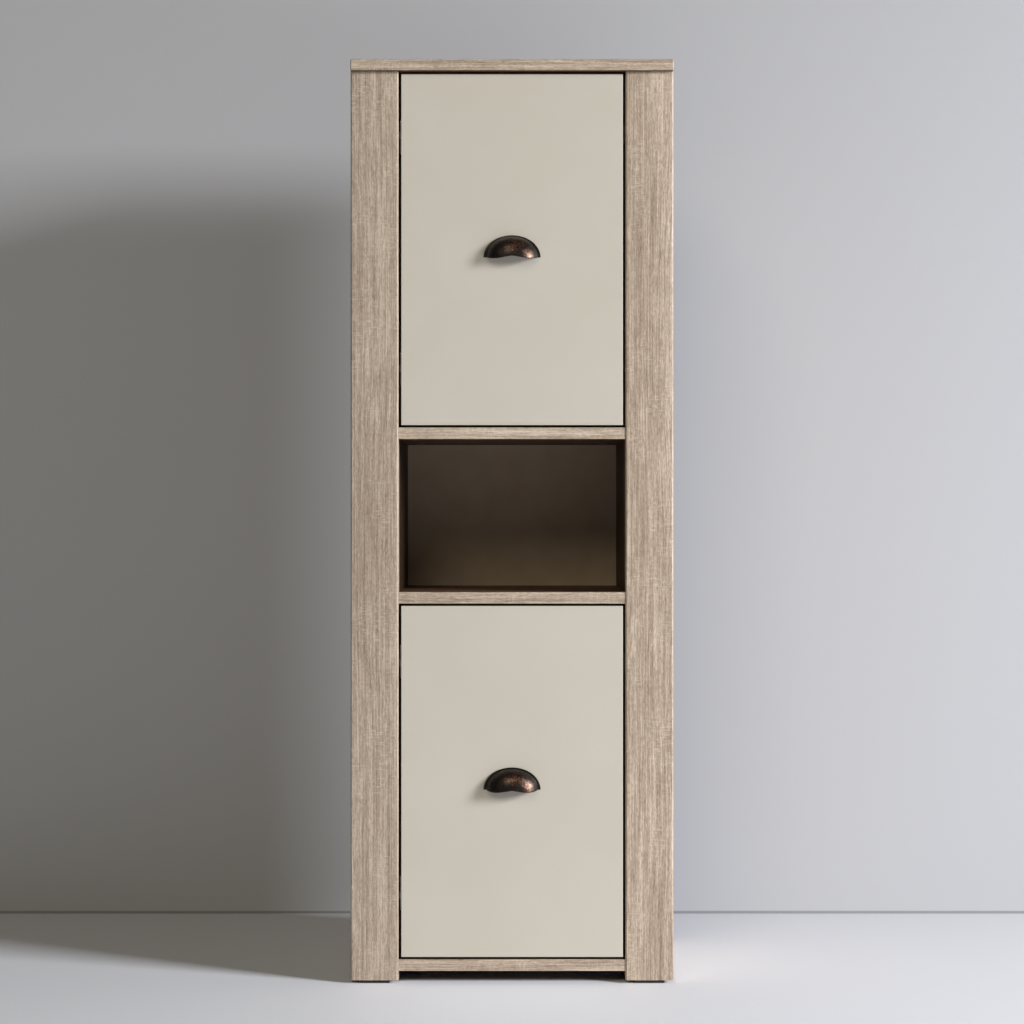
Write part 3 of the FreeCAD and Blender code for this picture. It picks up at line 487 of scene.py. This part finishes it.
# Doors. 18 mm board in a plain cream foil, matt, with its edges wrapped and finely rounded. Each door
# hangs on two cup hinges at its left.
FOIL_COLOURS = ("#bfb8ab", "#c2bbaf")
MIDDLE_RANGE = (0.35, 0.65)   # the middle of a noise
FOIL_CLOUDS = 0.006           # changes of the noise in a millimetre
FOIL_PITS = 0.8
FOIL_BUMP = 0.25
FOIL_RELIEF = 0.06            # mm
FOIL_SHADER = {"Roughness": 0.5, "IOR": 1.49, "Specular IOR Level": 0.38}

foil, tree = blank_material("matt_cream_foil")
place = in_millimetres(tree)
clouds = even_noise(tree, place, FOIL_CLOUDS, detail=2.0)
pits = even_noise(tree, place, FOIL_PITS, detail=3.0)
colour = ramp(tree, clouds, MIDDLE_RANGE, *FOIL_COLOURS)
finish_material(tree, colour, pits, FOIL_BUMP, FOIL_RELIEF, FOIL_SHADER)
for node in ("lower_door", "upper_door"):
    dress(node, foil)

# Metal, wood and plastic fittings. Pressed nickel-plated hinges, zinc-plated pegs, nails and bolts,
# die-cast cams, beech dowels, black glides and stops, clear-grey bumpers.
WEAR_RANGE = (0.35, 0.7)
ROUGHNESS_SWING = 0.03
FITTING_BUMP = 0.4

# Colour, metallic, roughness, grain and relief in mm, second colour and its greatest share.
FINISHES = {
    "nickel_plated_steel": ("#d2cec6", 1.0, 0.32, 9.0, 0.0001, "#c8c4bc", 0.4),
    "bright_zinc_plate": ("#c6c9cc", 1.0, 0.34, 3.0, 0.001, "#b4b7bb", 0.4),
    "zinc_die_casting": ("#a9abae", 1.0, 0.46, 1.0, 0.012, "#8d8f92", 0.5),
    "beech": ("#c9a272", 0.0, 0.6, 1.5, 0.05, "#a98152", 0.7),
    "moulded_black_plastic": ("#161616", 0.0, 0.5, 0.6, 0.03, "#202020", 0.8),
    "soft_clear_bumper": ("#c9c9c4", 0.0, 0.35, 2.0, 0.01, "#b9b9b4", 0.5),
}
FITTINGS = {
    "nickel_plated_steel": ("_hinge_cup", "_hinge_pin", "_hinge_arm", "_hinge_plate"),
    "bright_zinc_plate": ("_pegs", "_nails", "_bolts"),
    "zinc_die_casting": ("cam_locks",),
    "beech": ("_dowels",),
    "moulded_black_plastic": ("_glide", "_door_stop"),
    "soft_clear_bumper": ("door_bumpers",),
}


def plain_fitting(name, colour, metallic, roughness, grain, relief, second, share):
    """A small fitting's finish: one colour, broken by a fine grain of a second one."""
    made, tree = blank_material(name)
    noise = even_noise(tree, in_millimetres(tree), 1 / grain, detail=3.0)
    worn = span(tree, noise, *WEAR_RANGE, 0, share)
    tint = mixed(tree, worn, linear(colour), linear(second))
    rough = span(tree, noise, *NOISE_RANGE, roughness - ROUGHNESS_SWING, roughness + ROUGHNESS_SWING)
    finish_material(tree, tint, noise, FITTING_BUMP, relief, {"Metallic": metallic, "Roughness": rough})
    return made


finishes = {name: plain_fitting(name, *facts) for name, facts in FINISHES.items()}
for name, endings in FITTINGS.items():
    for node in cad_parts:
        if node.endswith(endings):
            dress(node, finishes[name])

# Cup pulls. Zinc-alloy castings in an aged bronze finish: a half-egg shell with two hanging lips, a
# flat rim that lies on the door, and two threaded bosses behind that take screws through the door.
# The dark finish is rubbed through to copper in the middle, where fingers reach it, and near the free
# end, where the copper lies under the softbox's highlight: wear and partly a painted highlight.
RIM_AT_CROWN = 0.002          # rim beyond the dome
RIM_AT_TIPS = 0.004
RIM_THICK = 0.0016
SHELL_WALL = 0.002
LIP_DROP = 0.0037             # lips below the tips
LIP_X = 0.0255
LIP_SPREAD = 0.030
LIP_PICK = 0.001              # points this near a lip's middle are drawn down with it
CAST_ROUND = 0.0006           # edges, and the fillet where the dome meets the rim
CAST_STEPS = 3
SCREW_X = 0.032
SCREW_RISE = 0.009            # above the tips
BOSS_RADIUS = 0.0042
BOSS_SIDES = 48
BOSS_SINK = 0.6               # share of the shell's wall that a boss stays below its outside
THREAD_RADIUS = 0.0021
THREAD_DEPTH = 0.008
EGG_CUTS = 39
SHARP_ANGLE = radians(50)
SMOOTH_ANGLE = radians(35)
TOUCH = 1e-6                  # two places this near are one
PATINA_COLOURS = ("#120e0b", "#33281f")
COPPER = "#8e5c43"
COPPER_PLACE = (5.0, 0.0, 17.0)            # mm from the middle of the tips
COPPER_REACH = (27.0, 60.0, 14.0)
WORN_HIGHLIGHT_PLACE = (26.0, 0.0, 4.0)               # copper wear near the free end, under the highlight: partly a painted highlight
WORN_HIGHLIGHT_REACH = (13.0, 60.0, 12.0)
FLECKS = 0.50                 # changes of the noise in a millimetre
CLOUDS = 0.22
GRIT = 1.3
WORN_SHARES = (0.40, 0.36, 2.0)            # of the worn middle, the worn place under the highlight and the flecks
WORN_RANGE = (1.24, 1.40)
MOST_COPPER = 0.9
BRONZE_ROUGHNESS = (0.24, 0.36)
BRONZE_BUMP = 0.60
BRONZE_RELIEF = 0.5           # mm
BRONZE_SHADER = {"Metallic": 0.9, "Coat Weight": 0.30, "Coat Roughness": 0.36, "Coat IOR": 1.5}


def start_editing(piece, kind):
    """Leave only this piece selected and open it for editing, with nothing picked in it."""
    if bpy.context.mode != "OBJECT":
        bpy.ops.object.mode_set(mode="OBJECT")
    bpy.ops.object.select_all(action="DESELECT")
    piece.select_set(True)
    bpy.context.view_layer.objects.active = piece
    bpy.ops.object.mode_set(mode="EDIT")
    bpy.ops.mesh.select_mode(type=kind)
    bpy.ops.mesh.select_all(action="DESELECT")


def pick(piece, chosen):
    """Select the vertices, edges or faces whose middle is chosen."""
    bpy.ops.object.mode_set(mode="OBJECT")
    mesh = piece.data
    kinds = bpy.context.tool_settings.mesh_select_mode
    for vertex in mesh.vertices:
        vertex.select = kinds[0] and chosen(vertex.co)
    for edge in mesh.edges:
        ends = [mesh.vertices[i].co for i in edge.vertices]
        edge.select = kinds[1] and chosen(sum(ends, Vector()) / 2)
    for face in mesh.polygons:
        face.select = kinds[2] and chosen(face.center)
    bpy.ops.object.mode_set(mode="EDIT")


def settle(piece):
    """Back to object mode, with the piece's place put in its mesh."""
    if bpy.context.mode != "OBJECT":
        bpy.ops.object.mode_set(mode="OBJECT")
    bpy.ops.object.select_all(action="DESELECT")
    piece.select_set(True)
    bpy.context.view_layer.objects.active = piece
    bpy.ops.object.transform_apply(location=True, rotation=True, scale=True)


def finish_with(piece, kind, **settings):
    """Add a modifier and apply it."""
    settle(piece)
    made = piece.modifiers.new(kind.lower(), kind)
    for name, value in settings.items():
        setattr(made, name, value)
    bpy.ops.object.modifier_apply(modifier=made.name)


def half_egg(name, tips, half_width, reach, height):
    """Skin of the dome: an egg of even quads, cut at the level of the tips and at the rim's face."""
    bpy.ops.object.select_all(action="DESELECT")
    bpy.ops.mesh.primitive_cube_add(size=2)
    skin = bpy.context.object
    skin.name = name
    start_editing(skin, "FACE")
    bpy.ops.mesh.select_all(action="SELECT")
    bpy.ops.mesh.subdivide(number_cuts=EGG_CUTS)
    finish_with(skin, "CAST", factor=1.0, use_radius_as_size=False, size=1.0)
    skin.scale = (half_width, reach, height)
    skin.location = tips
    settle(skin)
    start_editing(skin, "FACE")
    pick(skin, lambda middle: middle.z < tips.z)
    bpy.ops.mesh.delete(type="FACE")
    bpy.ops.mesh.select_all(action="SELECT")
    bpy.ops.mesh.bisect(plane_co=tips - Vector((0, RIM_THICK, 0)), plane_no=(0, 1, 0),
                        clear_outer=True, threshold=TOUCH)
    start_editing(skin, "VERT")
    pick(skin, lambda co: abs(co.z - tips.z) < TOUCH and abs(abs(co.x - tips.x) - LIP_X) < LIP_PICK)
    bpy.ops.transform.translate(value=(0, 0, -LIP_DROP), use_proportional_edit=True,
                                proportional_edit_falloff="SMOOTH", proportional_size=LIP_SPREAD)
    settle(skin)
    return skin


def screw_boss(skin, tips, side, reach):
    """Round boss from the door to the middle of the wall, with its thread's bore."""
    bpy.ops.object.select_all(action="DESELECT")
    middle = tips + Vector((side * SCREW_X, -reach / 2, SCREW_RISE))
    bpy.ops.mesh.primitive_cylinder_add(vertices=BOSS_SIDES, radius=BOSS_RADIUS, depth=reach,
                                        location=middle, rotation=(pi / 2, 0, 0))
    boss = bpy.context.object
    settle(boss)
    start_editing(boss, "VERT")
    pick(boss, lambda co: co.y < tips.y - reach / 2)
    bpy.ops.object.vertex_group_assign_new()
    finish_with(boss, "SHRINKWRAP", target=skin, wrap_method="PROJECT", use_project_y=True,
                use_negative_direction=True, use_positive_direction=True, offset=0.0,
                vertex_group=boss.vertex_groups[0].name)
    start_editing(boss, "VERT")
    pick(boss, lambda co: co.y < tips.y - THREAD_RADIUS)
    bpy.ops.transform.translate(value=(0, SHELL_WALL * BOSS_SINK, 0))
    start_editing(boss, "FACE")
    pick(boss, lambda middle: middle.y > tips.y - TOUCH)
    bpy.ops.mesh.inset(thickness=BOSS_RADIUS - THREAD_RADIUS)
    bpy.ops.mesh.extrude_region_move(TRANSFORM_OT_translate={"value": (0, -THREAD_DEPTH, 0)})
    settle(boss)
    return boss


def cup_pull(name, node):
    """The whole casting, in the place of the CAD pull."""
    low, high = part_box(node)
    tips = Vector(((low.x + high.x) / 2, high.y, low.z + LIP_DROP))
    half_width = (high.x - low.x) / 2
    reach = high.y - low.y
    height = high.z - tips.z
    shell = half_egg(name, tips, half_width - RIM_AT_TIPS, reach, height - RIM_AT_CROWN)
    bosses = [screw_boss(shell, tips, side, reach) for side in (-1, 1)]
    start_editing(shell, "EDGE")
    pick(shell, lambda middle: middle.y > tips.y - RIM_THICK - TOUCH)
    bpy.ops.mesh.extrude_edges_indiv()
    bpy.ops.transform.resize(value=(half_width / (half_width - RIM_AT_TIPS), 1,
                                    height / (height - RIM_AT_CROWN)), center_override=tips)
    finish_with(shell, "SOLIDIFY", thickness=SHELL_WALL, offset=-1, use_even_offset=True)
    start_editing(shell, "VERT")
    pick(shell, lambda co: co.y > tips.y)
    bpy.ops.transform.resize(value=(1, 0, 1), center_override=tips)
    finish_with(shell, "BEVEL", width=CAST_ROUND, segments=CAST_STEPS, limit_method="ANGLE",
                angle_limit=SHARP_ANGLE)
    for boss in bosses:
        finish_with(shell, "BOOLEAN", operation="UNION", solver="EXACT", object=boss)
        bpy.data.objects.remove(boss)
    bpy.ops.object.shade_smooth_by_angle(angle=SMOOTH_ANGLE)
    return shell, tips


def aged_bronze(name, tips):
    """Dark patina with soft gloss, thin over the casting; copper shows through in worn flecks, some of
    them a painted highlight.
    """
    made, tree = blank_material(name)
    from_tips = in_millimetres(tree, tips)
    places = []
    for centre, extent in ((COPPER_PLACE, COPPER_REACH), (WORN_HIGHLIGHT_PLACE, WORN_HIGHLIGHT_REACH)):
        about = put(tree, "ShaderNodeMapping", {
            "Vector": from_tips,
            "Location": [-c / r for c, r in zip(centre, extent)],
            "Scale": [1 / r for r in extent]})
        ball = put(tree, "ShaderNodeTexGradient", {0: about.outputs[0]}, gradient_type="SPHERICAL")
        places.append(ball.outputs["Fac"])
    flecks = even_noise(tree, from_tips, FLECKS, detail=6.0, Roughness=0.75, Distortion=0.5)
    clouds = even_noise(tree, from_tips, CLOUDS, detail=4.0)
    grit = even_noise(tree, from_tips, GRIT, detail=4.0)
    worn = weighed(tree, (*places, flecks), WORN_SHARES)
    rubbed = span(tree, worn, *WORN_RANGE, 0, MOST_COPPER)
    patina = ramp(tree, clouds, MIDDLE_RANGE, *PATINA_COLOURS)
    colour = mixed(tree, rubbed, patina, linear(COPPER))
    rough = span(tree, grit, *NOISE_RANGE, *BRONZE_ROUGHNESS)
    shader = {"Roughness": rough, **BRONZE_SHADER}
    finish_material(tree, colour, flecks, BRONZE_BUMP, BRONZE_RELIEF, shader)
    return made


upper_cup_pull, upper_tips = cup_pull("upper_cup_pull", "upper_pull")
lower_cup_pull = upper_cup_pull.copy()
lower_cup_pull.data = upper_cup_pull.data.copy()
lower_cup_pull.name = "lower_cup_pull"
scene.collection.objects.link(lower_cup_pull)
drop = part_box("lower_pull")[0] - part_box("upper_pull")[0]
lower_cup_pull.location = drop
settle(lower_cup_pull)
for pull, tips, door in ((upper_cup_pull, upper_tips, "upper_door"),
                         (lower_cup_pull, upper_tips + drop, "lower_door")):
    pull.data.materials.append(aged_bronze("aged_bronze_" + door, tips))
    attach(pull, door)
    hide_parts(door.replace("door", "pull"))

# Screws. Zinc-plated pan heads with a cross recess. One is modelled for each size and set in the
# place of each CAD screw, whose axis, head and length it takes.
HEAD_SIDES = 40
HEAD_STEPS = 5
HEAD_RIM = 0.95               # share of the head's radius past which a point is on its rim
HEAD_ROUND = 0.5              # shares of the head's thickness
RECESS_DEPTH = 0.6
RECESS_REACH = 0.6            # shares of the head's radius
RECESS_WIDTH = 0.26
RECESS_TAPER = 0.55
POINT_LENGTH = 0.12           # share of the shank
POINT_WIDTH = 0.35
SIZE_DIGITS = 5               # sizes that agree to this decimal of a metre are one size


def loose_solids(node):
    """Vertices of each solid of a CAD node, read from a copy that is removed again."""
    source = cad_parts[node]
    place = source.matrix_world.copy()
    copy = source.copy()
    copy.data = source.data.copy()
    scene.collection.objects.link(copy)
    start_editing(copy, "VERT")
    bpy.ops.mesh.select_all(action="SELECT")
    bpy.ops.mesh.remove_doubles(threshold=TOUCH)
    bpy.ops.mesh.separate(type="LOOSE")
    bpy.ops.object.mode_set(mode="OBJECT")
    solids = []
    for part in list(bpy.context.selected_objects):
        solids.append([place @ vertex.co for vertex in part.data.vertices])
        bpy.data.objects.remove(part)
    return solids


def screw_facts(points):
    """Middle of the head's face, direction it faces, head radius and thickness, shank radius, length."""
    low = Vector([min(p[i] for p in points) for i in range(3)])
    high = Vector([max(p[i] for p in points) for i in range(3)])
    size = high - low
    axis = max(range(3), key=lambda i: size[i])
    middle = (low + high) / 2
    across = [i for i in range(3) if i != axis]
    reach = [(p[axis], max(abs(p[i] - middle[i]) for i in across)) for p in points]
    radius = max(r for _, r in reach)
    at_low = max(r for a, r in reach if a < low[axis] + TOUCH)
    at_high = max(r for a, r in reach if a > high[axis] - TOUCH)
    outward = 1 if at_high > at_low else -1
    face = high[axis] if outward > 0 else low[axis]
    thick = max(abs(a - face) for a, r in reach if r > HEAD_RIM * radius)
    middle[axis] = face
    facing = Vector((0, 0, 0))
    facing[axis] = outward
    return middle, facing, radius, thick, min(at_low, at_high), size[axis]


def pan_screw(head_radius, head_thick, shank_radius, length):
    """One screw along Z: head's face at the origin, rounded rim, cross recess, pointed shank."""
    bpy.ops.object.select_all(action="DESELECT")
    bpy.ops.mesh.primitive_cylinder_add(vertices=HEAD_SIDES, radius=head_radius, depth=head_thick,
                                        location=(0, 0, -head_thick / 2))
    made = bpy.context.object
    settle(made)
    start_editing(made, "FACE")
    pick(made, lambda middle: middle.z < -head_thick + TOUCH)
    bpy.ops.mesh.inset(thickness=head_radius - shank_radius)
    point = (length - head_thick) * POINT_LENGTH
    bpy.ops.mesh.extrude_region_move(
        TRANSFORM_OT_translate={"value": (0, 0, head_thick + point - length)})
    bpy.ops.mesh.extrude_region_move(TRANSFORM_OT_translate={"value": (0, 0, -point)})
    bpy.ops.transform.resize(value=(POINT_WIDTH, POINT_WIDTH, 1), center_override=(0, 0, -length))
    start_editing(made, "EDGE")
    pick(made, lambda middle: middle.z > -TOUCH)
    bpy.ops.mesh.bevel(offset=head_thick * HEAD_ROUND, segments=HEAD_STEPS, profile=0.5)
    settle(made)
    depth = head_thick * RECESS_DEPTH
    for reach, width in ((RECESS_REACH, RECESS_WIDTH), (RECESS_WIDTH, RECESS_REACH)):
        bpy.ops.object.select_all(action="DESELECT")
        bar_size = (head_radius * reach, head_radius * width, depth)
        bpy.ops.mesh.primitive_cube_add(size=2, scale=bar_size)
        bar = bpy.context.object
        settle(bar)
        start_editing(bar, "VERT")
        pick(bar, lambda co: co.z < 0)
        bpy.ops.transform.resize(value=(RECESS_TAPER, RECESS_TAPER, 1), center_override=(0, 0, -depth))
        settle(bar)
        finish_with(made, "BOOLEAN", operation="DIFFERENCE", solver="EXACT", object=bar)
        bpy.data.objects.remove(bar)
    bpy.ops.object.shade_smooth_by_angle(angle=SMOOTH_ANGLE)
    return made


models = {}
for node in sorted(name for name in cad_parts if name.endswith("_screws")):
    screws = []
    for points in loose_solids(node):
        middle, facing, *sizes = screw_facts(points)
        kind = tuple(round(value, SIZE_DIGITS) for value in sizes)
        if kind not in models:
            models[kind] = pan_screw(*kind)
            models[kind].data.materials.append(finishes["bright_zinc_plate"])
        screw = models[kind].copy()
        screw.data = models[kind].data.copy()
        scene.collection.objects.link(screw)
        screw.location = middle
        screw.rotation_euler = facing.to_track_quat("Z", "Y").to_euler()
        settle(screw)
        screws.append(screw)
    bpy.ops.object.select_all(action="DESELECT")
    for screw in screws:
        screw.select_set(True)
    joined = screws[0]
    bpy.context.view_layer.objects.active = joined
    bpy.ops.object.join()
    joined.name = node.replace("_screw", "_pan_screw")
    on_door = "_cup" in node or "_pull" in node
    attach(joined, node.split("_")[0] + "_door" if on_door else "carcass")
    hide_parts(node)
for model in models.values():
    bpy.data.objects.remove(model)
